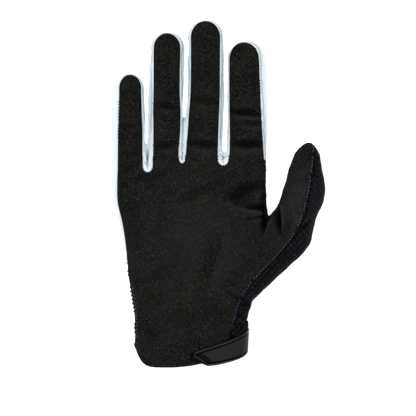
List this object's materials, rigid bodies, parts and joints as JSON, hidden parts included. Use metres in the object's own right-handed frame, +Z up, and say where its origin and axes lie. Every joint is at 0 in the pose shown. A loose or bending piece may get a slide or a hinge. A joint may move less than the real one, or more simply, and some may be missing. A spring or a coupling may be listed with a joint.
{
  "type": "riding glove",
  "caption": "Right-hand full-finger riding glove with a suede palm, stretch back, side strips between the fingers and a hook-and-loop wrist strap with a moulded tab.",
  "frame": {"origin": "middle of the base of the glove's box, on the surface that its back lies on", "axes": "+X from the little finger to the thumb, +Y from the cuff to the fingertips, +Z up out of the palm"},
  "size_m": [0.1354, 0.2234, 0.0299],
  "materials": {
    "palm_suede": "matt black synthetic suede with a fine nap",
    "stretch_cloth": "white knitted stretch cloth",
    "cuff_cloth": "black stretch cloth",
    "ripstop_cloth": "black ripstop cloth with a faint grid",
    "strap_webbing": "black woven webbing",
    "hook_cloth": "black hook tape",
    "tab_rubber": "satin black moulded rubber"
  },
  "bodies": {
    "root": {"palm_panel": "palm_suede", "back_panel": "stretch_cloth", "cuff_back_panel": "cuff_cloth", "thumb_back_panel": "ripstop_cloth", "fourchette_little_ring": "stretch_cloth", "fourchette_ring_middle": "stretch_cloth", "fourchette_middle_index": "stretch_cloth", "wrist_strap": "strap_webbing", "hook_pad": "hook_cloth", "strap_tab": "tab_rubber"}
  },
  "joints": []
}
